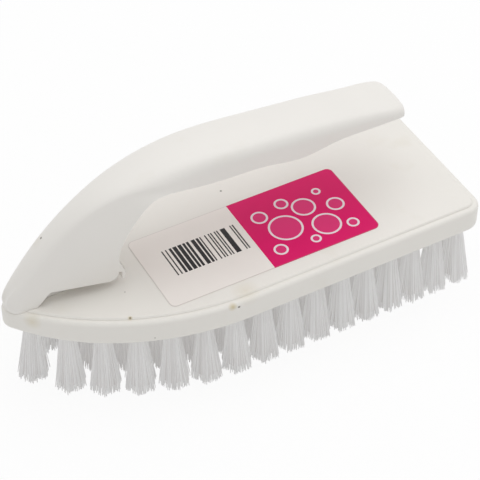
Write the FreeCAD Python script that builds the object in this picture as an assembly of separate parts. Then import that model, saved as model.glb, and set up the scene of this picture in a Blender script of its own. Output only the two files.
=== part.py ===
import FreeCAD
import Part
import math
import os

# Scrubbing brush shaped like the sole of an iron.
# A moulded block carries staple-set bristle tufts below and a hollow handle above.
# The handle stands on the nose of the block, arches back over it and ends free.
# Millimetres. X runs along the brush with the nose at minus X, Z points up.
# The origin lies under the middle of the brush, in the plane of the bristle tips.

# Block
BLOCK_LENGTH = 150.0
BLOCK_WIDTH = 64.0
BLOCK_HEIGHT = 8.9
STRAIGHT_SIDE = 83.0
NOSE_RADIUS = 4.0
CORNER_RADIUS = 5.5
RIM_ROUND = 1.3
SOLE_ROUND = 2.0
NOSE_LIFT_LENGTH = 26.0
NOSE_LIFT = 1.9
LEDGE_WIDTH = 2.0
PANEL_RISE = 0.6
PANEL_BEVEL = 0.35

# Tufts and their holes
TRIM_LENGTH = 23.0
HOLE_DIAMETER = 4.3
HOLE_SKIN = 3.0
HOLE_CLEARANCE = 0.05
TIP_DIAMETER = 8.0
TIP_GAP = 0.1
EDGE_INSET = 6.4
EDGE_LEAN_DEGREES = 3.5
EDGE_STEPS = 15
NOSE_SETBACK = 1.5
NOSE_SPREAD_SHARE = 0.16
INNER_ROWS = 2
TUFT_SPACING = 8.2
GATHERS = 6
GATHER_DEPTH_SHARE = 0.12

# Staples that hold the folded tufts
STAPLE_THICKNESS = 0.4
STAPLE_HEIGHT = 2.0
STAPLE_BITE = 0.6
FOLD_HEIGHT = 1.4

# Handle, from the nose tip of the block and from the face of the panel
HANDLE_REACH = 134.3
HANDLE_RISE = 37.6
GRIP_DEPTH = 9.9
NECK_DEPTH = 32.4
GRIP_WIDTH = 19.0
SHOULDER_RADIUS = 3.6
CROWN_RADIUS = 32.0
HANDLE_WALL = 2.2
HOLLOW_ROUND = 0.6
END_ROUND = 3.2
END_DROP = 1.8
SKIRT_REAR_GAP = 3.0
SKIRT_FRONT_GAP = 4.7
SKIRT_RAMP = 4.5
SKIRT_CORNER = 3.0
FOOT_LENGTH = 9.0

# Web inside the neck, whose lower edge is the tongue in the block
WEB_THICKNESS = 5.2
WEB_LENGTH = 38.8
WEB_TOE_HEIGHT = 3.6
WEB_RAMP = 4.0
TONGUE_DEPTH = 1.8
JOINT_CLEARANCE = 0.1

# Label on the panel
LABEL_LENGTH = 72.2
LABEL_WIDTH = 31.0
LABEL_THICKNESS = 0.15
LABEL_CORNER = 2.0
LABEL_WEB_GAP = 5.0
LABEL_SIDE_MARGIN = 7.45

# Length by which every cutting shape runs past the face it cuts
OVERRUN = 1.0

# Crown line of the handle from the nose to the free end: shares of the reach and of the rise
CROWN_SHARES = [
    (0.006, 0.0),
    (0.028, 0.1824),
    (0.090, 0.4638),
    (0.165, 0.696),
    (0.2462, 0.8548),
    (0.320, 0.934),
    (0.4073, 0.982),
    (0.6264, 0.953),
    (0.8059, 0.885),
    (1.0, 0.775),
]

# Sections of the grip from the free end: shares of reach, grip depth, width, top width and shoulder
GRIP_SHARES = [
    (0.9026, 0.549, 0.94, 0.97, 0.80),
    (0.8037, 0.737, 0.96, 0.97, 0.90),
    (0.7158, 1.0, 0.98, 0.97, 1.0),
    (0.6278, 0.925, 0.99, 0.97, 1.0),
    (0.5289, 0.948, 1.0, 0.97, 1.0),
    (0.4337, 0.907, 1.0, 0.95, 1.20),
]
GRIP_TILTS = [0.0, 0.0, 0.0, 3.0, 8.0, 18.0]

# Sections of the neck down to the foot: shares of reach, neck depth, width, top width and shoulder
NECK_SHARES = [
    (0.3355, 0.2807, 1.01, 0.78, 1.80),
    (0.2462, 0.4249, 1.02, 0.50, 2.40),
    (0.1685, 0.6006, 1.03, 0.38, 2.40),
    (0.0967, 0.7197, 1.03, 0.36, 2.20),
    (0.0396, 0.907, 1.0, 0.38, 1.80),
    (0.006, 1.0, 0.975, 0.42, 1.30),
]
NECK_TILTS = [52.0, 79.0, 89.0, 90.0, 90.0, 90.0]
NECK_CROWN_SHARES = [0.44, 0.24, 0.18, 0.16, 0.16, 0.16]

# Free end of the grip: share of its depth, its width and shoulder, and the turns of its rounding
END_DEPTH_SHARE = 0.408
END_WIDTH_SHARE = 0.92
END_TOP_SHARE = 0.97
END_SHOULDER_SHARE = 0.70
END_TURNS = [8.0, 32.0, 58.0, 90.0]

# Steps in which a point of the crown line is found
HALVINGS = 60

# Largest share of its section's depth and half width that a shoulder may take
SHOULDER_LIMIT_SHARE = 0.6
SHOULDER_WIDTH_SHARE = 0.9

# Least crown radius as a multiple of the radius that would round the whole top
CROWN_LEAST_SHARE = 1.04

SOLE_Z = TRIM_LENGTH
LEDGE_Z = SOLE_Z + BLOCK_HEIGHT
PANEL_Z = LEDGE_Z + PANEL_RISE
NOSE_X = -BLOCK_LENGTH / 2
REAR_X = BLOCK_LENGTH / 2
HALF_WIDTH = BLOCK_WIDTH / 2
BEND_X = REAR_X - STRAIGHT_SIDE
HOLE_RADIUS = HOLE_DIAMETER / 2
HOLE_DEPTH = PANEL_Z - SOLE_Z - HOLE_SKIN
TUFT_RADIUS = HOLE_RADIUS - HOLE_CLEARANCE
FOOT_X = NOSE_X + FOOT_LENGTH
WEB_X = NOSE_X + WEB_LENGTH
SAME_PLACE = OVERRUN / 1000


def vec(x, y, z):
    return FreeCAD.Vector(x, y, z)


def box(x0, x1, y0, y1, z0, z1):
    return Part.makeBox(x1 - x0, y1 - y0, z1 - z0, vec(x0, y0, z0))


def side_radius():
    """Radius of the long curve that joins each straight side to the round nose."""
    run = BEND_X - (NOSE_X + NOSE_RADIUS)
    return (run ** 2 + HALF_WIDTH ** 2 - NOSE_RADIUS ** 2) / (2 * (HALF_WIDTH - NOSE_RADIUS))


def outline(inset, z):
    """Closed outline of the sole, drawn inside the edge by the inset."""
    radius = side_radius()
    half = HALF_WIDTH - inset
    rear = REAR_X - inset
    corner = CORNER_RADIUS - inset
    nose = NOSE_RADIUS - inset
    side = radius - inset
    centre_y = HALF_WIDTH - radius
    nose_x = NOSE_X + NOSE_RADIUS
    turn = math.atan2(BEND_X - nose_x, -centre_y)
    diagonal = corner * math.sqrt(0.5)

    def on_side(angle, way):
        return vec(BEND_X - side * math.sin(angle), way * (centre_y + side * math.cos(angle)), z)

    edges = [
        Part.LineSegment(vec(rear, -half + corner, z), vec(rear, half - corner, z)).toShape(),
        Part.Arc(
            vec(rear, half - corner, z),
            vec(rear - corner + diagonal, half - corner + diagonal, z),
            vec(rear - corner, half, z),
        ).toShape(),
        Part.LineSegment(vec(rear - corner, half, z), vec(BEND_X, half, z)).toShape(),
        Part.Arc(vec(BEND_X, half, z), on_side(turn / 2, 1), on_side(turn, 1)).toShape(),
        Part.Arc(on_side(turn, 1), vec(nose_x - nose, 0, z), on_side(turn, -1)).toShape(),
        Part.Arc(on_side(turn, -1), on_side(turn / 2, -1), vec(BEND_X, -half, z)).toShape(),
        Part.LineSegment(vec(BEND_X, -half, z), vec(rear - corner, -half, z)).toShape(),
        Part.Arc(
            vec(rear - corner, -half, z),
            vec(rear - corner + diagonal, -half + corner - diagonal, z),
            vec(rear, -half + corner, z),
        ).toShape(),
    ]
    return Part.Wire(edges)


def slab(inset, z0, z1):
    return Part.Face(outline(inset, z0)).extrude(vec(0, 0, z1 - z0))


def level_edges(solid, z):
    """Edges of a solid that lie flat at one height."""
    return [e for e in solid.Edges if max(abs(e.BoundBox.ZMin - z), abs(e.BoundBox.ZMax - z)) < SAME_PLACE]


def row_step():
    """Distance between rows of tufts, from the edge row to the middle of the sole."""
    return (HALF_WIDTH - EDGE_INSET) / (INNER_ROWS + 1)


def row_place(inset, run):
    """Place and outward way on a left row that follows the outline, at a distance from the rear row."""
    straight = REAR_X - EDGE_INSET - BEND_X
    if run < straight:
        return (REAR_X - EDGE_INSET - run, inset - HALF_WIDTH, 0, -1)
    radius = side_radius()
    angle = (run - straight) / (radius - inset)
    out_x = -math.sin(angle)
    out_y = -math.cos(angle)
    return (BEND_X + (radius - inset) * out_x, radius - HALF_WIDTH + (radius - inset) * out_y, out_x, out_y)


def row_runs():
    """Distances of the tufts from the rear row, from the nose back, a little wider apart at the nose."""
    radius = side_radius()
    turn = math.acos((radius - HALF_WIDTH) / (radius - EDGE_INSET))
    total = REAR_X - EDGE_INSET - BEND_X + (radius - EDGE_INSET) * turn - NOSE_SETBACK
    parts = [step / EDGE_STEPS for step in range(1, EDGE_STEPS + 1)]
    return [total * (1 - part) * (1 - NOSE_SPREAD_SHARE * part) for part in parts]


def edge_places():
    """Roots of the edge tufts on the left, from the nose to the rear corner, each with its outward way."""
    places = [row_place(EDGE_INSET, run) for run in row_runs()[:-1]]
    corner = (REAR_X - EDGE_INSET, EDGE_INSET - HALF_WIDTH, math.sqrt(0.5), -math.sqrt(0.5))
    return places + [corner]


def nose_place():
    radius = side_radius()
    reach = math.sqrt((radius - EDGE_INSET) ** 2 - (radius - HALF_WIDTH) ** 2)
    return (BEND_X - reach + NOSE_SETBACK, 0, -1, 0)


def inner_places():
    """Roots of the inner rows, outermost first and the row on the middle plane last."""
    edge = edge_places()
    taken = [nose_place()] + edge + mirrored(edge)
    spacing = min(TUFT_SPACING, row_step()) - SAME_PLACE

    def free(x, y):
        return all(math.hypot(x - t[0], y - t[1]) > spacing for t in taken)

    rows = []
    for row in range(1, INNER_ROWS + 2):
        places = []
        for run in reversed(row_runs()):
            x, y, out_x, out_y = row_place(EDGE_INSET + row * row_step(), run)
            if row > INNER_ROWS:
                x, y = REAR_X - EDGE_INSET - run, 0
            leaning = 1 if run < SAME_PLACE else 0
            if free(x, y) and (not y or -2 * y > spacing):
                places.append((x, y, leaning, 0))
                taken.extend([(x, y), (x, -y)])
        rows.append(places)
    return rows


def mirrored(places):
    return [(x, -y, out_x, -out_y) for x, y, out_x, out_y in places]


def placed(solid, place):
    """Turns a shape made on the Z axis at the sole to the lean of its tuft, and moves it to the root."""
    x, y, out_x, out_y = place
    moved = solid.copy()
    if out_x or out_y:
        moved.rotate(vec(0, 0, SOLE_Z), vec(-out_y, out_x, 0), -EDGE_LEAN_DEGREES)
    moved.translate(vec(x, y, 0))
    return moved


def staple(place):
    half = HOLE_RADIUS + STAPLE_BITE
    top = SOLE_Z + HOLE_DEPTH - FOLD_HEIGHT
    plate = box(-half, half, -STAPLE_THICKNESS / 2, STAPLE_THICKNESS / 2, top - STAPLE_HEIGHT, top)
    return placed(plate, place)


def hole(place):
    bore = Part.makeCylinder(HOLE_RADIUS, HOLE_DEPTH + OVERRUN, vec(0, 0, SOLE_Z - OVERRUN))
    return placed(bore, place)


def tip_radius():
    """Half the spread of a tuft at its tips: as named, or what the nearest two tufts leave room for."""
    lean = TRIM_LENGTH * math.tan(math.radians(EDGE_LEAN_DEGREES))
    tips = [(x + lean * out_x, y + lean * out_y) for x, y, out_x, out_y in all_places()]
    pairs = [(a, b) for number, a in enumerate(tips) for b in tips[:number]]
    room = min(math.hypot(a[0] - b[0], a[1] - b[1]) for a, b in pairs) - TIP_GAP
    return min(TIP_DIAMETER, room) / 2


def tuft(place, tip):
    """Bundle of filaments: straight in its hole, spread and gathered towards the tips, trimmed flat."""
    x, y, out_x, out_y = place
    root = Part.makeCylinder(TUFT_RADIUS, HOLE_DEPTH, vec(0, 0, SOLE_Z))
    length = TRIM_LENGTH + OVERRUN
    points = []
    for number in range(2 * GATHERS):
        angle = math.pi * number / GATHERS
        end = tip * (1 - GATHER_DEPTH_SHARE) if number % 2 else tip
        reach = TUFT_RADIUS + (end - TUFT_RADIUS) * length / TRIM_LENGTH
        points.append(vec(reach * math.cos(angle), reach * math.sin(angle), SOLE_Z - length))
    gathered = Part.BSplineCurve()
    gathered.interpolate(Points=points, PeriodicFlag=True)
    ring = Part.Wire(Part.makeCircle(TUFT_RADIUS, vec(0, 0, SOLE_Z)))
    brush = Part.makeLoft([ring, Part.Wire(gathered.toShape())], True, True)
    bundle = placed(root.fuse(brush), place)
    floor = box(x - 2 * tip, x + 2 * tip, y - 2 * tip, y + 2 * tip, -TRIM_LENGTH, 0)
    return bundle.cut(floor).cut(staple(place))


def crown_curve():
    points = []
    for along, up in CROWN_SHARES:
        points.append(vec(NOSE_X + along * HANDLE_REACH, 0, PANEL_Z + up * HANDLE_RISE))
    points[0].z = LEDGE_Z
    curve = Part.BSplineCurve()
    curve.interpolate(points)
    return curve


def crown_point(curve, x):
    """Point of the crown line above one place along the brush, found by halving."""
    low = curve.FirstParameter
    high = curve.LastParameter
    for _ in range(HALVINGS):
        middle = (low + high) / 2
        if curve.value(middle).x < x:
            low = middle
        else:
            high = middle
    return curve.value(low)


def section(top, tilt, depth, rim_width, top_width, shoulder, crown, rim_overrun):
    """Closed section of the handle: rim line, two sides, two shoulders and a bowed crown, all tangent."""
    lean = math.radians(tilt)
    down = vec(math.sin(lean), 0, -math.cos(lean))
    deep = depth + rim_overrun
    base = top + down * deep

    def at(y, up):
        return base + vec(0, y, 0) - down * up

    rim = rim_width / 2
    half_top = top_width / 2
    slant = math.atan2(rim - half_top, deep)
    sine = math.sin(slant)
    cosine = math.cos(slant)
    radius = min(shoulder, deep * SHOULDER_LIMIT_SHARE, half_top * SHOULDER_WIDTH_SHARE)
    bow = max(crown, half_top * cosine / (1 - sine) * CROWN_LEAST_SHARE)
    reach = rim - radius * cosine
    sink = bow - deep - radius * sine
    slope = sink * cosine - reach * sine
    climb = math.sqrt(slope ** 2 - reach ** 2 - sink ** 2 + (bow - radius) ** 2) - slope
    centre = (reach - climb * sine, climb * cosine - radius * sine)
    side = (rim - climb * sine, climb * cosine)
    away = bow / (bow - radius)
    edge = (centre[0] * away, deep - bow + (centre[1] - deep + bow) * away)
    bend = math.atan2(side[1] + edge[1] - 2 * centre[1], side[0] + edge[0] - 2 * centre[0])
    turn = (centre[0] + radius * math.cos(bend), centre[1] + radius * math.sin(bend))

    def arc(ends, way):
        return Part.Arc(*[at(way * y, up) for y, up in ends]).toShape()

    return Part.Wire([
        Part.LineSegment(at(-rim, 0), at(rim, 0)).toShape(),
        Part.LineSegment(at(rim, 0), at(*side)).toShape(),
        arc([side, turn, edge], 1),
        Part.Arc(at(*edge), at(0, deep), at(-edge[0], edge[1])).toShape(),
        arc([edge, turn, side], -1),
        Part.LineSegment(at(-side[0], side[1]), at(-rim, 0)).toShape(),
    ])


def handle_sections(wall, rim_overrun, end_x):
    """Sections of the handle's skin, or of the hollow that lies a wall inside it."""
    curve = crown_curve()
    free_x = NOSE_X + HANDLE_REACH
    wires = []

    def add(x, drop, tilt, depth, rim_width, top_width, shoulder, crown):
        top = crown_point(curve, x)
        lean = math.radians(tilt)
        top = top + vec(math.sin(lean), 0, -math.cos(lean)) * (drop + wall)
        rim_room = rim_width - 2 * wall
        top_room = top_width - 2 * wall
        inner = max(shoulder - wall, HOLLOW_ROUND)
        deep = depth - drop - wall
        wires.append(section(top, tilt, deep, rim_room, top_room, inner, crown - wall, rim_overrun))

    width = GRIP_WIDTH * END_WIDTH_SHARE
    end_depth = GRIP_DEPTH * END_DEPTH_SHARE
    end_shoulder = SHOULDER_RADIUS * END_SHOULDER_SHARE
    for turn in END_TURNS if not wall else END_TURNS[-1:]:
        swing = math.radians(turn)
        x = min(free_x - END_ROUND * (1 - math.cos(swing)), end_x)
        tuck = END_ROUND * (1 - math.sin(swing))
        drop = END_DROP * (1 - math.sin(swing))
        rim = width - 2 * tuck
        add(x, drop, 0, end_depth, rim, rim * END_TOP_SHARE, end_shoulder, CROWN_RADIUS)
    for (along, deep, wide, top_wide, bend), tilt in zip(GRIP_SHARES, GRIP_TILTS):
        rim = GRIP_WIDTH * wide
        x = NOSE_X + HANDLE_REACH * along
        add(x, 0, tilt, GRIP_DEPTH * deep, rim, rim * top_wide, SHOULDER_RADIUS * bend, CROWN_RADIUS)
    for (along, deep, wide, top_wide, bend), tilt, bow in zip(NECK_SHARES, NECK_TILTS, NECK_CROWN_SHARES):
        rim = GRIP_WIDTH * wide
        x = NOSE_X + HANDLE_REACH * along
        crown = CROWN_RADIUS * bow
        add(x, 0, tilt, NECK_DEPTH * deep, rim, rim * top_wide, SHOULDER_RADIUS * bend, crown)
    return wires


def foot_prism(clearance, z0, z1):
    """Upright prism over the outline of the handle's foot, as far back as the foot stands."""
    along, deep, wide, top_wide, bend = NECK_SHARES[-1]
    rim = GRIP_WIDTH * wide
    top = vec(NOSE_X + HANDLE_REACH * along - clearance, 0, z0)
    rim_width = rim + 2 * clearance
    top_width = rim * top_wide + 2 * clearance
    crown = CROWN_RADIUS * NECK_CROWN_SHARES[-1] + clearance
    shoulder = SHOULDER_RADIUS * bend
    wire = section(top, NECK_TILTS[-1], NECK_DEPTH * deep, rim_width, top_width, shoulder, crown, 0)
    prism = Part.Face(wire).extrude(vec(0, 0, z1 - z0))
    return prism.common(box(NOSE_X - OVERRUN, FOOT_X + clearance, -HALF_WIDTH, HALF_WIDTH, z0, z1))


def web_profile():
    """Web in side view: tongue below, toe with a ramp behind the skirt, then up into the neck."""
    half = WEB_THICKNESS / 2
    low = PANEL_Z - TONGUE_DEPTH
    high = PANEL_Z + HANDLE_RISE
    ramp_x = WEB_X - WEB_RAMP
    points = [
        vec(FOOT_X - OVERRUN, -half, low),
        vec(WEB_X, -half, low),
        vec(WEB_X, -half, PANEL_Z),
        vec(ramp_x, -half, PANEL_Z + WEB_TOE_HEIGHT),
        vec(ramp_x - WEB_RAMP, -half, high),
        vec(FOOT_X - OVERRUN, -half, high),
        vec(FOOT_X - OVERRUN, -half, low),
    ]
    return Part.Face(Part.makePolygon(points)).extrude(vec(0, WEB_THICKNESS, 0))


def lift_cut():
    """Room below the front of the sole, where it curves up to the nose."""
    start_x = NOSE_X + NOSE_LIFT_LENGTH
    radius = (NOSE_LIFT_LENGTH ** 2 + NOSE_LIFT ** 2) / (2 * NOSE_LIFT)
    low = SOLE_Z - OVERRUN
    high = SOLE_Z + NOSE_LIFT + OVERRUN
    room = box(NOSE_X - OVERRUN, start_x, -BLOCK_WIDTH, BLOCK_WIDTH, low, high)
    axis = vec(start_x, -BLOCK_WIDTH, SOLE_Z + radius)
    return room.cut(Part.makeCylinder(radius, 2 * BLOCK_WIDTH, axis, vec(0, 1, 0)))


def sole_edges(solid):
    """Edges all round the underside of the plain slab, the lifted front included."""
    inner_x = NOSE_X + NOSE_LIFT_LENGTH
    found = []
    for edge in solid.Edges:
        bound = edge.BoundBox
        crosswise = bound.XLength < SAME_PLACE and abs(bound.XMin - inner_x) < SAME_PLACE
        if bound.ZMax < SOLE_Z + NOSE_LIFT + OVERRUN and not crosswise:
            found.append(edge)
    return found


def make_block():
    body = slab(0, SOLE_Z, LEDGE_Z).cut(lift_cut())
    body = body.makeFillet(RIM_ROUND, level_edges(body, LEDGE_Z))
    body = body.makeFillet(SOLE_ROUND, sole_edges(body))
    panel = slab(LEDGE_WIDTH, LEDGE_Z - PANEL_RISE, PANEL_Z)
    panel = panel.makeChamfer(PANEL_BEVEL, level_edges(panel, PANEL_Z))
    body = body.fuse(panel)
    recess = foot_prism(JOINT_CLEARANCE, LEDGE_Z, PANEL_Z + OVERRUN)
    half = WEB_THICKNESS / 2 + JOINT_CLEARANCE
    slot_x = FOOT_X - OVERRUN - JOINT_CLEARANCE
    slot = box(slot_x, WEB_X + JOINT_CLEARANCE, -half, half, PANEL_Z - TONGUE_DEPTH, PANEL_Z + OVERRUN)
    body = body.cut(recess.fuse(slot))
    tools = [hole(p) for p in all_places()] + [staple(p) for p in all_places()]
    return body.cut(Part.makeCompound(tools)).removeSplitter()


def neck_rim(index):
    """Rim point of one of the neck's sections, on the middle plane."""
    along, deep, wide, top_wide, bend = NECK_SHARES[index]
    lean = math.radians(NECK_TILTS[index])
    top = crown_point(crown_curve(), NOSE_X + HANDLE_REACH * along)
    return top + vec(math.sin(lean), 0, -math.cos(lean)) * (NECK_DEPTH * deep)


def skirt_x(z):
    """Rear end of the skirt at a height just above the block."""
    low = neck_rim(-1)
    high = neck_rim(-2)
    return low.x + (high.x - low.x) * (z - low.z) / (high.z - low.z)


def skirt_gap():
    """Room below the skirt: it opens behind the foot, falls a little and ends in a round corner."""
    low = LEDGE_Z - OVERRUN
    top = PANEL_Z + SKIRT_REAR_GAP
    corner_z = top + SKIRT_CORNER
    corner_x = skirt_x(corner_z)
    bend_x = corner_x - SKIRT_CORNER
    points = [
        vec(FOOT_X, -HALF_WIDTH, low),
        vec(FOOT_X, -HALF_WIDTH, PANEL_Z),
        vec(FOOT_X + SKIRT_RAMP, -HALF_WIDTH, PANEL_Z + SKIRT_FRONT_GAP),
        vec(bend_x, -HALF_WIDTH, top),
        vec(REAR_X, -HALF_WIDTH, top),
        vec(REAR_X, -HALF_WIDTH, low),
        vec(FOOT_X, -HALF_WIDTH, low),
    ]
    room = Part.Face(Part.makePolygon(points)).extrude(vec(0, BLOCK_WIDTH, 0))
    corner = box(bend_x, corner_x + OVERRUN, -HALF_WIDTH, HALF_WIDTH, top - OVERRUN, corner_z)
    centre = vec(bend_x, -HALF_WIDTH, corner_z)
    round_bar = Part.makeCylinder(SKIRT_CORNER, BLOCK_WIDTH, centre, vec(0, 1, 0))
    return room.fuse(corner.cut(round_bar))


def make_handle():
    free_x = NOSE_X + HANDLE_REACH
    skin = Part.makeLoft(handle_sections(0, 0, free_x), True)
    hollow = Part.makeLoft(handle_sections(HANDLE_WALL, OVERRUN, free_x - END_ROUND), True)
    web = web_profile()
    foot_z = PANEL_Z + SKIRT_FRONT_GAP + HANDLE_WALL
    foot = box(NOSE_X - OVERRUN, FOOT_X, -HALF_WIDTH, HALF_WIDTH, LEDGE_Z - OVERRUN, foot_z)
    shell = skin.cut(hollow.cut(foot).cut(web)).cut(skirt_gap())
    toe_z = PANEL_Z + SKIRT_REAR_GAP + SKIRT_CORNER
    toe = web.common(box(FOOT_X - OVERRUN, WEB_X, -HALF_WIDTH, HALF_WIDTH, PANEL_Z - TONGUE_DEPTH, toe_z))
    return shell.fuse(toe).removeSplitter()


def make_label():
    front = WEB_X + LABEL_WEB_GAP
    side = -HALF_WIDTH + LABEL_SIDE_MARGIN
    sheet = box(front, front + LABEL_LENGTH, side, side + LABEL_WIDTH, PANEL_Z, PANEL_Z + LABEL_THICKNESS)
    upright = [e for e in sheet.Edges if e.BoundBox.ZLength > LABEL_THICKNESS / 2]
    return sheet.makeFillet(LABEL_CORNER, upright)


def tuft_groups():
    """Named groups of tuft roots, each of which becomes one node."""
    groups = {"tuft_nose": [nose_place()]}
    left = edge_places()
    for number, (place, other) in enumerate(zip(left, mirrored(left)), 1):
        groups[f"tuft_left_{number:02d}"] = [place]
        groups[f"tuft_right_{number:02d}"] = [other]
    outer, inner, middle = inner_places()
    groups["tuft_row_left_outer"] = outer
    groups["tuft_row_left_inner"] = inner
    groups["tuft_row_middle"] = middle
    groups["tuft_row_right_inner"] = mirrored(inner)
    groups["tuft_row_right_outer"] = mirrored(outer)
    return groups


def all_places():
    return [place for places in tuft_groups().values() for place in places]


def save(name, solids):
    shape = solids[0] if len(solids) == 1 else Part.makeCompound(solids)
    shape.exportStep(f"parts/{name}.step")


os.makedirs("parts", exist_ok=True)
save("block", make_block().Solids)
save("handle", make_handle().Solids)
save("label", make_label().Solids)
save("anchor_staples", [staple(place) for place in all_places()])
spread = tip_radius()
for node, roots in tuft_groups().items():
    save(node, [solid for place in roots for solid in tuft(place, spread).Solids])
print(len(all_places()), "tufts in", len(tuft_groups()), "nodes")
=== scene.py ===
# %% [markdown]
# # A white scrubbing brush
# The brush has a flat pointed block, a bow handle, a stuck-on label and 89 tufts of nylon filament.
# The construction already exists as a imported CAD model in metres. It could be modelled again here, but
# then the two could drift apart, so this lesson loads it as a fixed frame and only dresses it: finishes
# for the rigid pieces, and real filaments in place of the plain tuft solids.

# %% Load the frame
import math

import bmesh
import bpy
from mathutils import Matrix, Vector


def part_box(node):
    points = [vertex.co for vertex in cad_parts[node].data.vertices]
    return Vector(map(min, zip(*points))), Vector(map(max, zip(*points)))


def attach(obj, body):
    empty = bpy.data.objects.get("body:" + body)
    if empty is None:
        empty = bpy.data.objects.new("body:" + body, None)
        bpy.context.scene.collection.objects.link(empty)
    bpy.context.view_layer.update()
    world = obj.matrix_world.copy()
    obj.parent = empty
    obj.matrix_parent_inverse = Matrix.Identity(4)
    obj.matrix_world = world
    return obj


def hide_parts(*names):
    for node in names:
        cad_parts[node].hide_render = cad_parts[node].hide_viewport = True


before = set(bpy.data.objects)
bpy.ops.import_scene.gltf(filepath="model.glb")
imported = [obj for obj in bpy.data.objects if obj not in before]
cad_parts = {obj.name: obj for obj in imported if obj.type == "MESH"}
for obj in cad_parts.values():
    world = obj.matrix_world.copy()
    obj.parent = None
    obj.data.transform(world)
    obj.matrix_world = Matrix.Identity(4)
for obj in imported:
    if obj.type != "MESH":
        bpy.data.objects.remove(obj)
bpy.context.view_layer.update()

MM = 0.001

# %% [markdown]
# ## Camera
# The photograph looks down on the brush from its near side, nose to the left. A camera could be moved by
# hand until it looks right. Here the view was worked out from straight edges on the block instead, so the
# angles, the distance and the focal length are plain numbers, and the aim is the middle of the picture.

# %% Camera at the photograph's angle
AZIMUTH = math.radians(-28.85)
ELEVATION = math.radians(44.07)
DISTANCE = 529.8 * MM
AIM = Vector((0.09, -8.84, 32.5)) * MM
FOCAL_PIXELS = 1733.0
IMAGE_PIXELS = 480.0
SENSOR_WIDTH = 36.0

backwards = Vector((math.sin(AZIMUTH) * math.cos(ELEVATION),
                    -math.cos(AZIMUTH) * math.cos(ELEVATION),
                    math.sin(ELEVATION)))
scene = bpy.context.scene
camera_data = bpy.data.cameras.new("camera")
camera_data.sensor_width = SENSOR_WIDTH
camera_data.lens = SENSOR_WIDTH * FOCAL_PIXELS / IMAGE_PIXELS
camera_data.clip_start = 10 * MM
camera = bpy.data.objects.new("camera", camera_data)
camera.location = AIM + backwards * DISTANCE
camera.rotation_euler = backwards.to_track_quat("Z", "Y").to_euler()
scene.collection.objects.link(camera)
scene.camera = camera
scene.view_settings.view_transform = "Standard"
print("camera: lens", round(camera_data.lens, 1), "mm")

# %% [markdown]
# ## Helpers for node trees
# Every finish below is a node tree. Placing nodes one line at a time hides the idea of a finish, so a few
# small helpers add a node with its settings, do sums, mix colours, start a material, and turn a colour as
# it is seen on a screen into the linear numbers that a shader works with.

# %% Node helpers


def seen(red, green, blue):
    """A colour as read on a screen, 0 to 255, as linear values with full alpha."""
    channels = []
    for value in (red, green, blue):
        share = value / 255
        channels.append(share / 12.92 if share <= 0.04045 else ((share + 0.055) / 1.055) ** 2.4)
    return (*channels, 1.0)


def add(tree, kind, settings=None, inputs=None):
    """One node: settings are its properties, inputs are values or sockets for its named inputs."""
    node = tree.nodes.new(kind)
    for key, value in (settings or {}).items():
        setattr(node, key, value)
    for key, value in (inputs or {}).items():
        if isinstance(value, bpy.types.NodeSocket):
            tree.links.new(value, node.inputs[key])
        else:
            node.inputs[key].default_value = value
    return node


def sums(tree, operation, first, second=0.0, third=None):
    """A Math node's result."""
    inputs = {0: first, 1: second}
    if third is not None:
        inputs[2] = third
    return add(tree, "ShaderNodeMath", {"operation": operation}, inputs).outputs[0]


def blend_colour(tree, factor, first, second):
    """Two colours mixed by a factor."""
    mix = add(tree, "ShaderNodeMix", {"data_type": "RGBA"})
    for index, value in ((0, factor), (6, first), (7, second)):
        if isinstance(value, bpy.types.NodeSocket):
            tree.links.new(value, mix.inputs[index])
        else:
            mix.inputs[index].default_value = value
    return mix.outputs[2]


def finish_material(name):
    """A new material, its tree and its shader."""
    material = bpy.data.materials.new(name)
    material.use_nodes = True
    return material, material.node_tree, material.node_tree.nodes["Principled BSDF"]


print("white as seen (236, 235, 232) is", [round(c, 3) for c in seen(236, 235, 232)])

# %% [markdown]
# ## Floor
# The brush was photographed on plain white. A bright lamp could burn the floor out, but it would burn the
# white brush out too. So the floor is an ordinary pale surface for the light that bounces off it, and only
# rays that come from the camera, or from a gloss, see most of it as white. A small share of the real
# shading is kept, and with it a faint shadow of block and handle.

# %% Floor
FLOOR_REACH = 3.0
FLOOR_WHITE_SHARE = 0.90
FLOOR_CORNERS = ((-1, -1), (1, -1), (1, 1), (-1, 1))
PURE_WHITE = (1, 1, 1, 1)


def seen_directly(tree):
    """1 for rays from the camera, from a gloss or through glass, else 0."""
    path = add(tree, "ShaderNodeLightPath")
    either = sums(tree, "MAXIMUM", path.outputs["Is Camera Ray"], path.outputs["Is Glossy Ray"])
    return sums(tree, "MAXIMUM", either, path.outputs["Is Transmission Ray"])


def mixed(tree, factor, first, second):
    """Two shaders mixed by a factor."""
    inputs = {0: factor, 1: first.outputs[0], 2: second.outputs[0]}
    return add(tree, "ShaderNodeMixShader", inputs=inputs)


floor_paint = bpy.data.materials.new("floor_paint")
floor_paint.use_nodes = True
tree = floor_paint.node_tree
tree.nodes.clear()
pale = add(tree, "ShaderNodeBsdfDiffuse", inputs={"Color": seen(249, 249, 249)})
shaded = add(tree, "ShaderNodeBsdfDiffuse", inputs={"Color": PURE_WHITE})
glow = add(tree, "ShaderNodeEmission", inputs={"Color": PURE_WHITE, "Strength": 1.0})
white = mixed(tree, FLOOR_WHITE_SHARE, shaded, glow)
either = mixed(tree, seen_directly(tree), pale, white)
add(tree, "ShaderNodeOutputMaterial", inputs={"Surface": either.outputs[0]})

floor_mesh = bpy.data.meshes.new("floor")
floor_points = [(x * FLOOR_REACH, y * FLOOR_REACH, 0) for x, y in FLOOR_CORNERS]
floor_mesh.from_pydata(floor_points, [], [(0, 1, 2, 3)])
floor_mesh.materials.append(floor_paint)
floor = bpy.data.objects.new("floor", floor_mesh)
scene.collection.objects.link(floor)
print("floor:", FLOOR_REACH * 2, "m square")

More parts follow.
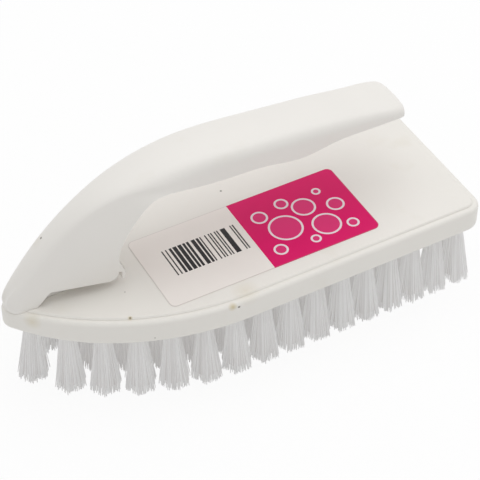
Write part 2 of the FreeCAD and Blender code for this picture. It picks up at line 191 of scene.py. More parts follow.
# %% [markdown]
# ## Light
# White plastic shows its shape only by small steps of grey: the top is brightest, the near side of the
# block clearly darker. One large soft box above gives that fall-off without hard shadows, and an even pale
# world fills the sides. Their levels add up so that a level surface renders about as its colour is written.

# %% Soft studio light
WORLD_LEVEL = 0.60
BOX_SIZE = 1.2
BOX_PLACE = Vector((0.25, 0.10, 0.95))
BOX_WATTS = 4.6

world = bpy.data.worlds.new("studio")
world.use_nodes = True
tree = world.node_tree
tree.nodes.clear()
ambient = add(tree, "ShaderNodeBackground", inputs={"Color": PURE_WHITE, "Strength": WORLD_LEVEL})
backdrop = add(tree, "ShaderNodeBackground", inputs={"Color": PURE_WHITE, "Strength": 1.0})
either = mixed(tree, seen_directly(tree), ambient, backdrop)
add(tree, "ShaderNodeOutputWorld", inputs={"Surface": either.outputs[0]})
scene.world = world

box_data = bpy.data.lights.new("soft_box", "AREA")
box_data.shape = "SQUARE"
box_data.size = BOX_SIZE
box_data.energy = BOX_WATTS
soft_box = bpy.data.objects.new("soft_box", box_data)
soft_box.location = BOX_PLACE
soft_box.rotation_euler = BOX_PLACE.to_track_quat("Z", "Y").to_euler()
scene.collection.objects.link(soft_box)
print("light: world", WORLD_LEVEL, "and a soft box of", BOX_WATTS, "W")

# %% [markdown]
# ## Moulded skin
# Injection moulded plastic is never one colour. It has a faint cloudiness from the melt, shallow sinks
# where it cooled, a fine satin grain from the mould, and after handling a few specks and pale yellow
# marks. Block and handle share all that, each with its own strength, so it is one shader group with named
# inputs. It hands out a colour, a roughness and a height; the shader itself stays in each material.

# %% Moulded skin group: inputs and patterns
CLOUD_SCALE = 45.0
SINK_SCALE = 110.0
GRAIN_SCALE = 2400.0
MARK_SCALE = 70.0
SPECK_SCALE = 95.0
SKIN_INPUTS = {"Place": "NodeSocketVector", "Plastic": "NodeSocketColor", "Mark": "NodeSocketColor",
               "Cloud": "NodeSocketFloat", "Marks": "NodeSocketFloat", "Grain": "NodeSocketFloat",
               "Satin": "NodeSocketFloat"}
SKIN_OUTPUTS = {"Colour": "NodeSocketColor", "Roughness": "NodeSocketFloat", "Height": "NodeSocketFloat"}

skin = bpy.data.node_groups.new("moulded_skin", "ShaderNodeTree")
for way, sockets in (("INPUT", SKIN_INPUTS), ("OUTPUT", SKIN_OUTPUTS)):
    for name, kind in sockets.items():
        skin.interface.new_socket(name=name, in_out=way, socket_type=kind)


def noise(tree, place, scale, detail):
    """A noise over the surface, from about 0 to 1."""
    inputs = {"Vector": place, "Scale": scale, "Detail": detail}
    return add(tree, "ShaderNodeTexNoise", inputs=inputs).outputs[0]


given = add(skin, "NodeGroupInput").outputs
cloud = noise(skin, given["Place"], CLOUD_SCALE, 3.0)
sink = noise(skin, given["Place"], SINK_SCALE, 1.0)
grain = noise(skin, given["Place"], GRAIN_SCALE, 2.0)
marks = noise(skin, given["Place"], MARK_SCALE, 4.0)
specks = add(skin, "ShaderNodeTexVoronoi", inputs={"Vector": given["Place"], "Scale": SPECK_SCALE})
print("moulded_skin:", len(skin.nodes), "nodes make its patterns")

# %% Moulded skin group: colour
MARK_START = 0.60
MARK_GAIN = 4.0
MOST_MARK = 0.5
SPECK_RADIUS = 0.032
SPECK_RARITY = 0.94
SPECK_DARKNESS = 0.35
MOST_SPECK = 0.8


def swing(pattern):
    """A pattern round 0 instead of round a half."""
    return sums(skin, "SUBTRACT", pattern, 0.5)


cloud_value = sums(skin, "ADD", sums(skin, "MULTIPLY", swing(cloud), given["Cloud"]), 1.0)
cloudy = add(skin, "ShaderNodeHueSaturation", inputs={"Color": given["Plastic"], "Value": cloud_value})
mark_level = sums(skin, "MULTIPLY", sums(skin, "SUBTRACT", marks, MARK_START), MARK_GAIN)
mark_level = sums(skin, "MULTIPLY", sums(skin, "MAXIMUM", mark_level, 0.0), given["Marks"])
mark_level = sums(skin, "MINIMUM", mark_level, MOST_MARK)
marked = blend_colour(skin, mark_level, cloudy.outputs[0], given["Mark"])

chance = add(skin, "ShaderNodeSeparateColor", inputs={"Color": specks.outputs["Color"]})
rare = sums(skin, "GREATER_THAN", chance.outputs[0], SPECK_RARITY)
speck_size = sums(skin, "MULTIPLY", chance.outputs[1], SPECK_RADIUS)
dot = sums(skin, "LESS_THAN", specks.outputs["Distance"], speck_size)
dot_level = sums(skin, "MULTIPLY", sums(skin, "MULTIPLY", rare, dot), given["Marks"])
dot_level = sums(skin, "MINIMUM", dot_level, MOST_SPECK)
dark_mark = add(skin, "ShaderNodeHueSaturation", inputs={"Color": given["Mark"], "Value": SPECK_DARKNESS})
specked = blend_colour(skin, dot_level, marked, dark_mark.outputs[0])
print("moulded_skin:", len(skin.nodes), "nodes with its colour")

# %% Moulded skin group: roughness and height
GRAIN_ROUGHNESS = 0.18
CLOUD_ROUGHNESS = 0.12
SINK_HEIGHT = 4.0

rough = sums(skin, "MULTIPLY_ADD", swing(grain), GRAIN_ROUGHNESS, given["Satin"])
rough = sums(skin, "MULTIPLY_ADD", swing(cloud), CLOUD_ROUGHNESS, rough)
grain_height = sums(skin, "MULTIPLY", grain, given["Grain"])
height = sums(skin, "MULTIPLY_ADD", sink, SINK_HEIGHT, grain_height)
add(skin, "NodeGroupOutput", inputs={"Colour": specked, "Roughness": rough, "Height": height})
print("moulded_skin:", len(skin.nodes), "nodes in all")

# %% [markdown]
# ## White plastic of block and handle
# Both are off-white plastic: warm white, satin, hardly any tint. They could share one material, but the
# block carries more marks than the handle, so each has its own. A few marks are large enough to be told
# apart on the real brush. They could be painted on, but a place, a radius and a strength for each are
# enough: it fades from its middle to its rim. The CAD meshes already have the right shape, so they stay
# and only get these finishes.

# %% Single marks: x, y, z and radius in mm, strength
STAIN = seen(205, 188, 140)
SPECK = seen(88, 80, 66)
MOST_SPOT = 0.8
BLOCK_STAINS = ((-68.9, -7.8, 30.4, 3.2, 0.35), (-14.8, -31.6, 31.2, 1.6, 0.8),
                (-9.0, -28.6, 32.5, 5.0, 0.22), (-43.8, -22.0, 32.4, 0.9, 0.9))
BLOCK_SPECKS = ((5.5, 13.5, 32.5, 0.45, 1.6), (-12.9, -31.9, 30.5, 0.5, 2.0),
                (-43.8, -22.0, 32.4, 0.45, 1.2), (-40.5, -11.8, 32.5, 0.3, 0.8),
                (-38.3, -26.7, 25.4, 0.35, 0.8))
HANDLE_STAINS = ((-61.0, 2.5, 51.0, 3.0, 0.12),)
HANDLE_SPECKS = ((-60.0, 1.5, 52.6, 0.5, 1.6),)


def distance(tree, place, x, y, z):
    """How far a place lies from a point given in mm."""
    inputs = {0: place, 1: (x * MM, y * MM, z * MM)}
    return add(tree, "ShaderNodeVectorMath", {"operation": "DISTANCE"}, inputs).outputs["Value"]


def spots(tree, place, marks):
    """The strongest of some round marks."""
    level = None
    for x, y, z, radius, strength in marks:
        away = distance(tree, place, x, y, z)
        near = sums(tree, "MULTIPLY_ADD", away, -strength / (radius * MM), strength)
        near = sums(tree, "MAXIMUM", near, 0.0)
        level = sums(tree, "MAXIMUM", level, near) if level else near
    return sums(tree, "MINIMUM", level, MOST_SPOT)


print("marks:", len(BLOCK_STAINS + BLOCK_SPECKS), "on the block,",
      len(HANDLE_STAINS + HANDLE_SPECKS), "on the handle")

# %% Block and handle finishes
BUMP_DEPTH = 0.012 * MM
PLASTIC_IOR = 1.49
MARK = seen(196, 182, 140)


def moulded_plastic(name, plastic, cloud, marks, grain, satin, stains, specks):
    """Satin white plastic with the moulded skin in colour, roughness and height, and marks of its own."""
    material, tree, shader = finish_material(name)
    group = add(tree, "ShaderNodeGroup", {"node_tree": skin})
    place = add(tree, "ShaderNodeTexCoord").outputs["Object"]
    tree.links.new(place, group.inputs["Place"])
    for key, value in (("Plastic", plastic), ("Mark", MARK), ("Cloud", cloud), ("Marks", marks),
                       ("Grain", grain), ("Satin", satin)):
        group.inputs[key].default_value = value
    bump = add(tree, "ShaderNodeBump", inputs={"Strength": 1.0, "Distance": BUMP_DEPTH,
                                               "Height": group.outputs["Height"]})
    colour = blend_colour(tree, spots(tree, place, stains), group.outputs["Colour"], STAIN)
    colour = blend_colour(tree, spots(tree, place, specks), colour, SPECK)
    tree.links.new(colour, shader.inputs["Base Color"])
    tree.links.new(group.outputs["Roughness"], shader.inputs["Roughness"])
    tree.links.new(bump.outputs["Normal"], shader.inputs["Normal"])
    shader.inputs["IOR"].default_value = PLASTIC_IOR
    return material


block_plastic = moulded_plastic("block_plastic", seen(239, 236, 230), 0.05, 0.18, 1.0, 0.42,
                                BLOCK_STAINS, BLOCK_SPECKS)
handle_plastic = moulded_plastic("handle_plastic", seen(240, 237, 232), 0.05, 0.12, 1.0, 0.40,
                                 HANDLE_STAINS, HANDLE_SPECKS)
for node, material in (("block", block_plastic), ("handle", handle_plastic)):
    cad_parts[node].material_slots[0].material = material
    print(node, "wears", material.name)

# %% [markdown]
# ## Label
# A thin film label lies on the block beside the handle: white to the front, a strong magenta field to the
# rear. It carries nothing to read: plain uneven stripes on the white and a cluster of soap bubbles on the
# colour. A picture could be painted for it, but the label lies flat along X and Y, so the print can be
# worked out straight from Object coordinates, and no picture is needed.

# %% Label layout
label_low, label_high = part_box("label")
label_middle = (Vector(label_low) + Vector(label_high)) / 2
label_half = (Vector(label_high) - Vector(label_low)) / 2
LABEL_CORNER = 2 * MM
FIELD_START = 0.48
STRIPE_SPAN = (0.10, 0.45)
STRIPE_RISE = (0.36, 0.73)
STRIPE_MODULE = 0.42 * MM
STRIPE_GAPS = 0.48
BUBBLES = ((15.0, -11.0, 5.2), (24.5, -5.5, 3.6), (27.0, -15.5, 4.4), (19.0, -1.0, 2.0),
           (34.0, -9.0, 2.6), (10.0, -3.2, 2.4), (34.5, -18.8, 1.7), (9.0, -18.6, 2.0),
           (20.8, -19.6, 1.4), (31.5, -1.2, 1.2))
BUBBLE_LINE = 0.34 * MM


def along(share):
    """Place on the label's length, by its share from the front edge."""
    return label_low[0] + share * (label_high[0] - label_low[0])


def across(share):
    """Place on the label's width, by its share from the near edge."""
    return label_low[1] + share * (label_high[1] - label_low[1])


print("label: magenta from x =", round(along(FIELD_START) / MM, 1), "mm,", len(BUBBLES), "bubbles")

# %% Label print
label_print, tree, shader = finish_material("label_print")
place = add(tree, "ShaderNodeTexCoord").outputs["Object"]
axes = add(tree, "ShaderNodeSeparateXYZ", inputs={0: place}).outputs
flat_place = add(tree, "ShaderNodeCombineXYZ", inputs={"X": axes["X"], "Y": axes["Y"]}).outputs[0]


def between(value, low, high):
    """1 inside a span, else 0."""
    above = sums(tree, "GREATER_THAN", value, low)
    return sums(tree, "MULTIPLY", above, sums(tree, "LESS_THAN", value, high))


field = sums(tree, "GREATER_THAN", axes["X"], along(FIELD_START))
module = sums(tree, "FLOOR", sums(tree, "DIVIDE", axes["X"], STRIPE_MODULE))
chance = add(tree, "ShaderNodeTexWhiteNoise", {"noise_dimensions": "1D"}, {"W": module}).outputs["Value"]
stripe = sums(tree, "GREATER_THAN", chance, STRIPE_GAPS)
stripe = sums(tree, "MULTIPLY", stripe, between(axes["X"], along(STRIPE_SPAN[0]), along(STRIPE_SPAN[1])))
stripe = sums(tree, "MULTIPLY", stripe, between(axes["Y"], across(STRIPE_RISE[0]), across(STRIPE_RISE[1])))

rings, discs = None, None
for x, y, radius in BUBBLES:
    away = distance(tree, flat_place, x, y, 0)
    off_line = sums(tree, "ABSOLUTE", sums(tree, "SUBTRACT", away, radius * MM))
    ring = sums(tree, "LESS_THAN", off_line, BUBBLE_LINE)
    disc = sums(tree, "LESS_THAN", away, radius * MM)
    rings = sums(tree, "MAXIMUM", rings, ring) if rings else ring
    discs = sums(tree, "MAXIMUM", discs, disc) if discs else disc
print("label print:", len(tree.nodes), "nodes so far")

# %% Label colours
INK_DRIFT_SCALE = 60.0
PAPER = seen(246, 240, 235), seen(241, 235, 230)
MAGENTA = seen(226, 12, 105), seen(219, 6, 101)
PALE_MAGENTA = seen(226, 92, 148)
BUBBLE_WHITE = seen(240, 226, 232)
STRIPE_BLACK = seen(44, 42, 44)
BUBBLE_TINT = 0.30

ink_drift = noise(tree, place, INK_DRIFT_SCALE, 2.0)
white_part = blend_colour(tree, stripe, blend_colour(tree, ink_drift, *PAPER), STRIPE_BLACK)
magenta = blend_colour(tree, ink_drift, *MAGENTA)
magenta = blend_colour(tree, sums(tree, "MULTIPLY", discs, BUBBLE_TINT), magenta, PALE_MAGENTA)
magenta = blend_colour(tree, rings, magenta, BUBBLE_WHITE)
colour = blend_colour(tree, field, white_part, magenta)
print("label colours:", len(tree.nodes), "nodes so far")

# %% Label edge shadow and film
EDGE_SHADOW_LINE = 0.22 * MM
EDGE_SHADOW_TINT = 0.28
EDGE_SHADOW_GREY = seen(150, 140, 138)
FILM_GRAIN_SCALE = 900.0
FILM_ROUGHNESS = 0.38
FILM_ROUGHNESS_SWING = 0.15
FILM_SPECULAR = 0.2
FILM_BUMP = 0.01 * MM


def vector_sums(operation, first, second=None):
    """A Vector Math node of the label's tree."""
    inputs = {0: first} if second is None else {0: first, 1: second}
    return add(tree, "ShaderNodeVectorMath", {"operation": operation}, inputs).outputs


inset = vector_sums("SUBTRACT", flat_place, (label_middle.x, label_middle.y, 0))[0]
inset = vector_sums("ABSOLUTE", inset)[0]
inset = vector_sums("SUBTRACT", inset, (label_half.x - LABEL_CORNER, label_half.y - LABEL_CORNER, 0))[0]
from_corner = vector_sums("LENGTH", vector_sums("MAXIMUM", inset, (0, 0, 0))[0])["Value"]
# Painted shadow: a thin grey line along the label's rim stands in for the shade at its raised edge.
edge = sums(tree, "GREATER_THAN", from_corner, LABEL_CORNER - EDGE_SHADOW_LINE)
colour = blend_colour(tree, sums(tree, "MULTIPLY", edge, EDGE_SHADOW_TINT), colour, EDGE_SHADOW_GREY)

film_grain = noise(tree, place, FILM_GRAIN_SCALE, 2.0)
film_roughness = sums(tree, "MULTIPLY_ADD", film_grain, FILM_ROUGHNESS_SWING, FILM_ROUGHNESS)
bump = add(tree, "ShaderNodeBump", inputs={"Strength": 1.0, "Distance": FILM_BUMP, "Height": ink_drift})
tree.links.new(colour, shader.inputs["Base Color"])
tree.links.new(film_roughness, shader.inputs["Roughness"])
tree.links.new(bump.outputs["Normal"], shader.inputs["Normal"])
shader.inputs["Specular IOR Level"].default_value = FILM_SPECULAR
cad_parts["label"].material_slots[0].material = label_print
print("label film:", len(tree.nodes), "nodes")

# %% [markdown]
# ## Staples
# Deep in each hole a flat wire staple holds the folded filaments. Nothing of it shows once the tufts are
# in, but a cut-open or exploded view would show it, so it gets drawn steel with fine lines along the wire.

# %% Staple wire
DRAWN_SCALE = (600.0, 9000.0, 9000.0)
STEEL = seen(150, 152, 155), seen(198, 199, 200)
STEEL_ROUGHNESS = 0.25
STEEL_ROUGHNESS_SWING = 0.25

staple_wire, tree, shader = finish_material("staple_steel")
place = add(tree, "ShaderNodeTexCoord").outputs["Object"]
stretch = add(tree, "ShaderNodeMapping", inputs={"Vector": place, "Scale": DRAWN_SCALE}).outputs[0]
drawn = noise(tree, stretch, 1.0, 2.0)
steel_roughness = sums(tree, "MULTIPLY_ADD", drawn, STEEL_ROUGHNESS_SWING, STEEL_ROUGHNESS)
tree.links.new(blend_colour(tree, drawn, *STEEL), shader.inputs["Base Color"])
tree.links.new(steel_roughness, shader.inputs["Roughness"])
shader.inputs["Metallic"].default_value = 1.0
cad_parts["anchor_staples"].material_slots[0].material = staple_wire
print("anchor_staples wear", staple_wire.name)

# %% [markdown]
# ## Where the tufts stand
# Each tuft is a bundle of filaments that leaves its hole and spreads towards the floor. In the CAD model it
# is one slender flared solid. Its two ends tell all that is needed: the face on the floor gives the middle
# of the tips, and on the line from there to the round face in the hole lies the root, a little above the
# hole's mouth. A node may hold a whole row of tufts, and the rows are curved, so the mesh is welded in a
# copy and walked from point to point, one connected solid at a time.

# %% Read the tufts' axes from the CAD solids
ROOT_DEPTH = 3.9 * MM
RING_SLICE = 0.4 * MM
WELD = 0.005 * MM


def connected_solids(mesh):
    """Points of each connected solid in a mesh."""
    welded = bmesh.new()
    welded.from_mesh(mesh)
    bmesh.ops.remove_doubles(welded, verts=welded.verts, dist=WELD)
    waiting = set(welded.verts)
    solids = []
    for first in list(welded.verts):
        if first not in waiting:
            continue
        waiting.remove(first)
        front, solid = [first], []
        while front:
            vertex = front.pop()
            solid.append(vertex.co.copy())
            for edge in vertex.link_edges:
                other = edge.other_vert(vertex)
                if other in waiting:
                    waiting.remove(other)
                    front.append(other)
        solids.append(solid)
    welded.free()
    return solids


def ring_middle(points):
    """Middle of the box round some points."""
    return Vector([(min(p[i] for p in points) + max(p[i] for p in points)) / 2 for i in range(3)])


def tuft_axes(nodes):
    """(root, tip) of every tuft in these CAD nodes."""
    pairs = []
    for name in nodes:
        for solid in connected_solids(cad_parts[name].data):
            low = min(p.z for p in solid)
            high = max(p.z for p in solid)
            tip = ring_middle([p for p in solid if p.z < low + RING_SLICE])
            top = ring_middle([p for p in solid if p.z > high - RING_SLICE])
            tip.z = low
            pairs.append((top.lerp(tip, ROOT_DEPTH / (top.z - tip.z)), tip))
    return pairs


tuft_nodes = {
    "tufts_left": ["tuft_nose"] + [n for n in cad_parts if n.startswith("tuft_left_")],
    "tufts_right": [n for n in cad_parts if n.startswith("tuft_right_")],
    "tufts_outer_left": ["tuft_row_left_outer"],
    "tufts_inner_left": ["tuft_row_left_inner"],
    "tufts_middle": ["tuft_row_middle"],
    "tufts_inner_right": ["tuft_row_right_inner"],
    "tufts_outer_right": ["tuft_row_right_outer"],
}
for piece, nodes in tuft_nodes.items():
    print(piece, len(nodes), "nodes,", len(tuft_axes(nodes)), "tufts")

# %% [markdown]
# ## Filament finish
# The filaments are milky nylon. Side by side they differ a little in tone. They are painted greyer deep in
# the tuft than at the cut ends: painted shade, towards the roots and in the inner rows. The node tree below
# leaves two numbers on every filament for that: its own tone, lowered by its row's painted shade, and how
# far along it a point lies. The packed inside of a tuft has the lowest tone, painted shade between the
# filaments.

# %% Filament finish
NYLON = seen(228, 225, 224), seen(254, 254, 254)
ROOT_SHADE_NYLON = seen(232, 230, 227)
ROOT_SHADE = 0.20
NYLON_ROUGHNESS = 0.30
NYLON_ROUGHNESS_SWING = 0.15
NYLON_IOR = 1.53

filament_nylon, tree, shader = finish_material("filament_nylon")
tone_and_shade = add(tree, "ShaderNodeAttribute", {"attribute_name": "filament_tone_and_shade"}).outputs["Fac"]
way = add(tree, "ShaderNodeAttribute", {"attribute_name": "filament_along"}).outputs["Fac"]
# Painted shade: the nylon turns greyer towards the root, under the block.
root_shade = sums(tree, "MULTIPLY", sums(tree, "SUBTRACT", 1.0, way), ROOT_SHADE)
nylon = blend_colour(tree, root_shade, blend_colour(tree, tone_and_shade, *NYLON), ROOT_SHADE_NYLON)
nylon_roughness = sums(tree, "MULTIPLY_ADD", tone_and_shade, NYLON_ROUGHNESS_SWING, NYLON_ROUGHNESS)
tree.links.new(nylon, shader.inputs["Base Color"])
tree.links.new(nylon_roughness, shader.inputs["Roughness"])
shader.inputs["IOR"].default_value = NYLON_IOR
print("filament finish:", len(tree.nodes), "nodes")

# %% [markdown]
# ## A tuft as a node tree
# A brush like this has more than ten thousand filaments. Hair particles could grow them, but they would
# not end in a mesh, and modelling one tuft and copying it would show. Geometry Nodes start from one point
# per tuft and duplicate it into filaments. Each filament gets its place in the hole by the sunflower rule,
# with the filaments crowded towards the rim, where they show, and then random strays. Towards the tips
# they gather in six soft strands with shallow valleys between. A line of five points is drawn for each
# filament and bent into place.

# %% Tuft tree: inputs
tufts = bpy.data.node_groups.new("bristle_tufts", "GeometryNodeTree")
tufts.interface.new_socket(name="Tufts", in_out="INPUT", socket_type="NodeSocketGeometry")
TUFT_INPUTS = {
    "Filaments": ("NodeSocketInt", 260),
    "Filament Diameter": ("NodeSocketFloat", 0.28 * MM),
    "Root Radius": ("NodeSocketFloat", 1.95 * MM),
    "Tip Radius": ("NodeSocketFloat", 5.15 * MM),
    "Flare": ("NodeSocketFloat", 1.12),
    "Trim": ("NodeSocketFloat", 1.0 * MM),
    "Stray": ("NodeSocketFloat", 0.35 * MM),
    "Gather": ("NodeSocketFloat", 0.08),
    "Valley": ("NodeSocketFloat", 0.12),
    "Core Share": ("NodeSocketFloat", 0.84),
    "Core Length": ("NodeSocketFloat", 0.90),
    "Shade Tone": ("NodeSocketFloat", 1.0),
    "Seed": ("NodeSocketInt", 1),
    "Finish": ("NodeSocketMaterial", filament_nylon),
}
tuft_socket = {}
for name, (kind, value) in TUFT_INPUTS.items():
    tuft_socket[name] = tufts.interface.new_socket(name=name, in_out="INPUT", socket_type=kind).identifier
tufts.interface.new_socket(name="Filaments", in_out="OUTPUT", socket_type="NodeSocketGeometry")
asked = add(tufts, "NodeGroupInput").outputs
print("tuft tree inputs:", ", ".join(TUFT_INPUTS))

# %% Tuft tree: one point per filament
GOLDEN_ANGLE = math.pi * (3 - math.sqrt(5))
CROWDING = 0.38
SPREADS = (0.93, 1.03)
TONES = (0.35, 1.0)
SHORTNESS = 1.8
LEAST_TRIM = 0.07 * MM


def named(name, kind):
    """An attribute by its name."""
    return add(tufts, "GeometryNodeInputNamedAttribute", {"data_type": kind}, {"Name": name}).outputs[0]


def store(geometry, name, kind, value):
    """The geometry with a value kept on its points."""
    node = add(tufts, "GeometryNodeStoreNamedAttribute", {"data_type": kind, "domain": "POINT"},
               {"Geometry": geometry, "Name": name, "Value": value})
    return node.outputs[0]


def chance_of(low, high, shift, per=None):
    """A random number for each filament, or for each value of per, from the tree's seed."""
    seed = sums(tufts, "ADD", asked["Seed"], float(shift))
    inputs = {"Min": low, "Max": high, "Seed": seed}
    if per is not None:
        inputs["ID"] = per
    node = add(tufts, "FunctionNodeRandomValue", {"data_type": "FLOAT"})
    for socket in node.inputs:
        if socket.enabled and socket.name in inputs:
            value = inputs[socket.name]
            if isinstance(value, bpy.types.NodeSocket):
                tufts.links.new(value, socket)
            else:
                socket.default_value = value
    return next(s for s in node.outputs if s.enabled)


points = add(tufts, "GeometryNodeMeshToPoints", {"mode": "VERTICES"}, {"Mesh": asked["Tufts"]}).outputs[0]
points = store(points, "root", "FLOAT_VECTOR", add(tufts, "GeometryNodeInputPosition").outputs[0])
points = store(points, "tuft", "INT", add(tufts, "GeometryNodeInputIndex").outputs[0])
tuft_points = points
many = add(tufts, "GeometryNodeDuplicateElements", {"domain": "POINT"},
           {"Geometry": points, "Amount": asked["Filaments"]})
number = many.outputs["Duplicate Index"]
turn = sums(tufts, "MULTIPLY", number, GOLDEN_ANGLE)
turn = sums(tufts, "ADD", turn, chance_of(0.0, math.tau, 1, named("tuft", "INT")))
share = sums(tufts, "DIVIDE", sums(tufts, "ADD", number, 0.5), asked["Filaments"])
points = store(many.outputs["Geometry"], "turn", "FLOAT", turn)
points = store(points, "share", "FLOAT", sums(tufts, "POWER", share, CROWDING))
points = store(points, "spread", "FLOAT", chance_of(*SPREADS, 2))
points = store(points, "stray_turn", "FLOAT", chance_of(0.0, math.tau, 3))
points = store(points, "stray", "FLOAT", sums(tufts, "MULTIPLY", chance_of(0.0, 1.0, 4), asked["Stray"]))
short = sums(tufts, "POWER", chance_of(0.0, 1.0, 5), SHORTNESS)
points = store(points, "trim", "FLOAT", sums(tufts, "MULTIPLY_ADD", short, asked["Trim"], LEAST_TRIM))
# Painted shade: each row's shade tone scales the random tone down, lower for the inner rows.
tone_and_shade = sums(tufts, "MULTIPLY", chance_of(*TONES, 6), asked["Shade Tone"])
points = store(points, "filament_tone_and_shade", "FLOAT", tone_and_shade)
print("tuft tree:", len(tufts.nodes), "nodes place the filaments")

# %% Tuft tree: one line per filament
LINE_POINTS = 5
GATHERS = 6.0


def realised(geometry):
    """Copies turned into real geometry."""
    return add(tufts, "GeometryNodeRealizeInstances", inputs={"Geometry": geometry}).outputs[0]


def on_points(places, copied):
    """One real copy of a geometry on each point."""
    inputs = {"Points": places, "Instance": copied}
    return realised(add(tufts, "GeometryNodeInstanceOnPoints", inputs=inputs).outputs[0])


def on_axis(way):
    """Point of a tuft's middle line, from its root at 0 to its tip at 1."""
    middle = add(tufts, "ShaderNodeMix", {"data_type": "VECTOR"})
    ends = named("root", "FLOAT_VECTOR"), named("tip", "FLOAT_VECTOR")
    for index, value in ((0, way), (4, ends[0]), (5, ends[1])):
        tufts.links.new(value, middle.inputs[index])
    return middle.outputs[1]


def bundle_radius(way, turn, tip_radius):
    """Radius of the bundle: it flares along the way, with six valleys that deepen to the tips."""
    growth = sums(tufts, "SUBTRACT", tip_radius, asked["Root Radius"])
    growth = sums(tufts, "MULTIPLY", sums(tufts, "POWER", way, asked["Flare"]), growth)
    plain = sums(tufts, "ADD", growth, asked["Root Radius"])
    dent = sums(tufts, "COSINE", sums(tufts, "MULTIPLY", turn, GATHERS))
    dent = sums(tufts, "MULTIPLY_ADD", dent, -0.5, 0.5)
    dent = sums(tufts, "MULTIPLY", sums(tufts, "MULTIPLY", dent, asked["Valley"]), way)
    return sums(tufts, "MULTIPLY", plain, sums(tufts, "SUBTRACT", 1.0, dent))


def placed(geometry, middle, x, y, z=0.0):
    """The geometry with its points at a middle line plus an offset."""
    offset = add(tufts, "ShaderNodeCombineXYZ", inputs={"X": x, "Y": y, "Z": z}).outputs[0]
    place = add(tufts, "ShaderNodeVectorMath", {"operation": "ADD"}, {0: middle, 1: offset}).outputs[0]
    inputs = {"Geometry": geometry, "Position": place}
    return add(tufts, "GeometryNodeSetPosition", inputs=inputs).outputs[0]


line = add(tufts, "GeometryNodeCurvePrimitiveLine", {"mode": "POINTS"},
           {"Start": (0, 0, 0), "End": (0, 0, -1)}).outputs[0]
line = add(tufts, "GeometryNodeResampleCurve", inputs={"Curve": line, "Count": LINE_POINTS}).outputs[0]
lines = on_points(points, line)
print("tuft tree:", len(tufts.nodes), "nodes draw the lines")

# %% Tuft tree: bend each filament into place
way = add(tufts, "GeometryNodeSplineParameter").outputs["Factor"]
late = sums(tufts, "MULTIPLY", way, way)
pull = sums(tufts, "SINE", sums(tufts, "MULTIPLY", named("turn", "FLOAT"), GATHERS))
pull = sums(tufts, "MULTIPLY", sums(tufts, "MULTIPLY", pull, asked["Gather"]), late)
turned = sums(tufts, "SUBTRACT", named("turn", "FLOAT"), pull)
tip_radius = sums(tufts, "MULTIPLY", asked["Tip Radius"], named("spread", "FLOAT"))
radius = sums(tufts, "MULTIPLY", bundle_radius(way, turned, tip_radius), named("share", "FLOAT"))
stray = sums(tufts, "MULTIPLY", named("stray", "FLOAT"), late)
trimmed = sums(tufts, "MULTIPLY", named("trim", "FLOAT"), way)


def ring_offset(direction):
    """Sideways place of a filament: its spot in the tuft plus its own stray."""
    own = sums(tufts, "MULTIPLY", sums(tufts, direction, turned), radius)
    return sums(tufts, "MULTIPLY_ADD", sums(tufts, direction, named("stray_turn", "FLOAT")), stray, own)


bent = placed(lines, on_axis(way), ring_offset("COSINE"), ring_offset("SINE"), trimmed)
bent = store(bent, "filament_along", "FLOAT", way)
print("tuft tree:", len(tufts.nodes), "nodes bend them")

# %% [markdown]
# ### The packed inside of a tuft
# Filaments lie so close that nobody looks into a tuft. Thousands of hidden filaments could be swept as
# well, but they would only cost time. So a closed core of the bundle's own flared shape fills the inside,
# just below the outer filaments, and stops short of the tips, where the cut ends show.

# %% Tuft tree: the core
CORE_SIDES = 24
# Painted shade: the core takes the darkest nylon, for the shade in the gaps between the outer filaments.
CORE_SHADE_TONE = 0.0


def sweep(curve, sides, radius):
    """A round bar along a curve, closed at both ends."""
    ring = add(tufts, "GeometryNodeCurvePrimitiveCircle", {"mode": "RADIUS"},
               {"Resolution": sides, "Radius": radius}).outputs[0]
    inputs = {"Curve": curve, "Profile Curve": ring, "Fill Caps": True}
    return add(tufts, "GeometryNodeCurveToMesh", inputs=inputs).outputs[0]


def finished(geometry):
    """The geometry with the tree's finish on all its faces."""
    inputs = {"Geometry": geometry, "Material": asked["Finish"]}
    return add(tufts, "GeometryNodeSetMaterial", inputs=inputs).outputs[0]


drum = finished(sweep(line, CORE_SIDES, 1.0))
drum = store(drum, "unit", "FLOAT_VECTOR", add(tufts, "GeometryNodeInputPosition").outputs[0])
cores = on_points(tuft_points, drum)
unit = add(tufts, "ShaderNodeSeparateXYZ", inputs={0: named("unit", "FLOAT_VECTOR")}).outputs
core_way = sums(tufts, "MULTIPLY", sums(tufts, "ABSOLUTE", unit["Z"]), asked["Core Length"])
core_turn = sums(tufts, "ARCTAN2", unit["Y"], unit["X"])
core_radius = bundle_radius(core_way, core_turn, asked["Tip Radius"])
core_radius = sums(tufts, "MULTIPLY", core_radius, asked["Core Share"])
cores = placed(cores, on_axis(core_way), sums(tufts, "MULTIPLY", unit["X"], core_radius),
               sums(tufts, "MULTIPLY", unit["Y"], core_radius))
cores = store(cores, "filament_along", "FLOAT", core_way)
cores = store(cores, "filament_tone_and_shade", "FLOAT", CORE_SHADE_TONE)
print("tuft tree:", len(tufts.nodes), "nodes with the core")

# %% [markdown]
# ### Sweep and join
# A curve alone has no thickness, so a ring of five corners is swept along each filament, which is round
# enough for its size. The working values are dropped again, so that only tone and way stay on the mesh.

# %% Tuft tree: sweep, realise and finish
RING_SIDES = 5
WORKING_VALUES = ("root", "tip", "tuft", "turn", "share", "spread", "stray_turn", "stray", "trim", "unit")

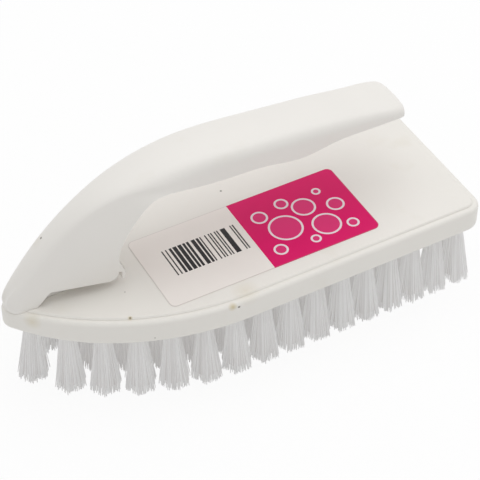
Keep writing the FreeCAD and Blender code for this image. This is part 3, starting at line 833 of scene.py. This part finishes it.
swept = sweep(bent, RING_SIDES, sums(tufts, "DIVIDE", asked["Filament Diameter"], 2.0))
both = add(tufts, "GeometryNodeJoinGeometry")
for part in (finished(swept), cores):
    tufts.links.new(part, both.inputs[0])
grown = add(tufts, "GeometryNodeSetShadeSmooth", inputs={"Geometry": both.outputs[0]}).outputs[0]
for name in WORKING_VALUES:
    grown = add(tufts, "GeometryNodeRemoveAttribute", inputs={"Geometry": grown, "Name": name}).outputs[0]
grown = realised(grown)
add(tufts, "NodeGroupOutput", inputs={"Filaments": finished(grown)})
print("tuft tree:", len(tufts.nodes), "nodes in all")

# %% [markdown]
# ## Grow the tufts
# The tree runs once for each row: near edge with the nose, far edge, and the five inner rows. A helper
# object holds one vertex per root and the tip as an attribute. Its evaluated result is kept as a plain
# mesh, because instances and live modifiers would be lost on export, and the helper is removed.
#
# Milky nylon passes light on, which is why a white tuft looks bright to its heart. True scattering in
# thousands of thin tubes is slow and noisy. So the tufts don't stop light on its way to other tufts: they
# are left out for shadow and diffuse rays, and only block and handle shade them. The shade deeper in the
# brush is painted instead: the inner rows get a greyer tone.

# %% Grow the rows of tufts
EDGE_PIECES = ("tufts_left", "tufts_right")
# Painted shade: the inner rows get a lower tone for the shade deeper in the brush; the edge rows keep full
# tone.
EDGE_ROW_SHADE_TONE = 1.0
INNER_ROW_SHADE_TONE = 0.45
FIRST_SEED = 11


def grow_tufts(piece, nodes, seed, tone_and_shade):
    """Filaments for all tufts of these CAD nodes, as one plain mesh object that stands for them."""
    axes = tuft_axes(nodes)
    roots = bpy.data.meshes.new(piece + "_roots")
    roots.from_pydata([root for root, tip in axes], [], [])
    tips = roots.attributes.new("tip", "FLOAT_VECTOR", "POINT")
    for entry, (root, tip) in zip(tips.data, axes):
        entry.vector = tip
    helper = bpy.data.objects.new(piece + "_roots", roots)
    scene.collection.objects.link(helper)
    modifier = helper.modifiers.new("tufts", "NODES")
    modifier.node_group = tufts
    for name, (kind, value) in TUFT_INPUTS.items():
        modifier[tuft_socket[name]] = {"Seed": seed, "Shade Tone": tone_and_shade}.get(name, value)
    evaluated = helper.evaluated_get(bpy.context.evaluated_depsgraph_get())
    mesh = bpy.data.meshes.new_from_object(evaluated)
    mesh.name = piece
    helper.modifiers.remove(modifier)
    bpy.data.objects.remove(helper)
    grown = bpy.data.objects.new(piece, mesh)
    scene.collection.objects.link(grown)
    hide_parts(*nodes)
    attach(grown, "root")
    grown.visible_shadow = False
    grown.visible_diffuse = False
    mesh.calc_loop_triangles()
    lowest = min(vertex.co.z for vertex in mesh.vertices)
    print(piece, len(axes), "tufts,", len(mesh.loop_triangles), "triangles,",
          [material.name for material in mesh.materials], "lowest point", round(lowest / MM, 3), "mm")


for seed, (piece, nodes) in enumerate(tuft_nodes.items(), start=FIRST_SEED):
    grow_tufts(piece, nodes, seed, EDGE_ROW_SHADE_TONE if piece in EDGE_PIECES else INNER_ROW_SHADE_TONE)
